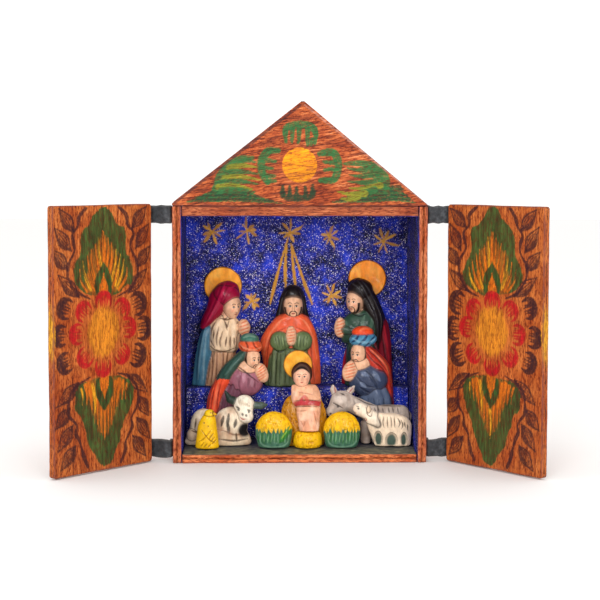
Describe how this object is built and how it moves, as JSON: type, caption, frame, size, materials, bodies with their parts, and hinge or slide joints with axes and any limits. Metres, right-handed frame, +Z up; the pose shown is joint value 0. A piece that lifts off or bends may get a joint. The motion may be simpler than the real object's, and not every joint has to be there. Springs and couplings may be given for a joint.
{
  "type": "folding shrine box",
  "caption": "Small folding wooden shrine box with a gable, two painted doors on leather straps and a modelled nativity scene inside.",
  "frame": {"origin": "the middle of the case's underside", "axes": "+Z up, -Y out of the open front, +X to the right of someone facing the front"},
  "size_m": [0.1988, 0.0917, 0.1522],
  "materials": {
    "stained_wood": "orange-brown stain with dark open grain and worn edges, painted flowers and leaves",
    "glitter_paint": "cobalt blue paint scattered with silver glitter",
    "strap_leather": "rough charcoal leather with ragged cut ends",
    "painted_plaster": "hand-modelled plaster paste, painted in bright colours and varnished"
  },
  "bodies": {
    "case": {"case_left_wall": "stained_wood", "case_right_wall": "stained_wood", "case_floor": "stained_wood", "case_top": "stained_wood", "case_back": "stained_wood", "rear_step": "glitter_paint", "gable": "stained_wood", "left_strap_top": "strap_leather", "left_strap_bottom": "strap_leather", "right_strap_top": "strap_leather", "right_strap_bottom": "strap_leather", "standing_woman": "painted_plaster", "standing_man": "painted_plaster", "standing_hooded_man": "painted_plaster", "kneeling_king_left": "painted_plaster", "kneeling_king_right": "painted_plaster", "swaddled_child": "painted_plaster", "straw_crib": "painted_plaster", "bale_left": "painted_plaster", "bale_right": "painted_plaster", "yellow_bird": "painted_plaster", "ox": "painted_plaster", "donkey": "painted_plaster", "sheep": "painted_plaster"},
    "left_door": {"left_door": "stained_wood"},
    "right_door": {"right_door": "stained_wood"}
  },
  "joints": [
    {"name": "left_door_swing", "type": "hinge", "parent": "case", "child": "left_door", "pos_m": [-0.057, -0.0231, 0.0548], "axis": [0, 0, 1], "range_deg": [-52, 133], "deforming": ["left_strap_top", "left_strap_bottom"]},
    {"name": "right_door_swing", "type": "hinge", "parent": "case", "child": "right_door", "pos_m": [0.057, -0.0231, 0.0548], "axis": [0, 0, -1], "range_deg": [-56.5, 128.5], "deforming": ["right_strap_top", "right_strap_bottom"]}
  ]
}
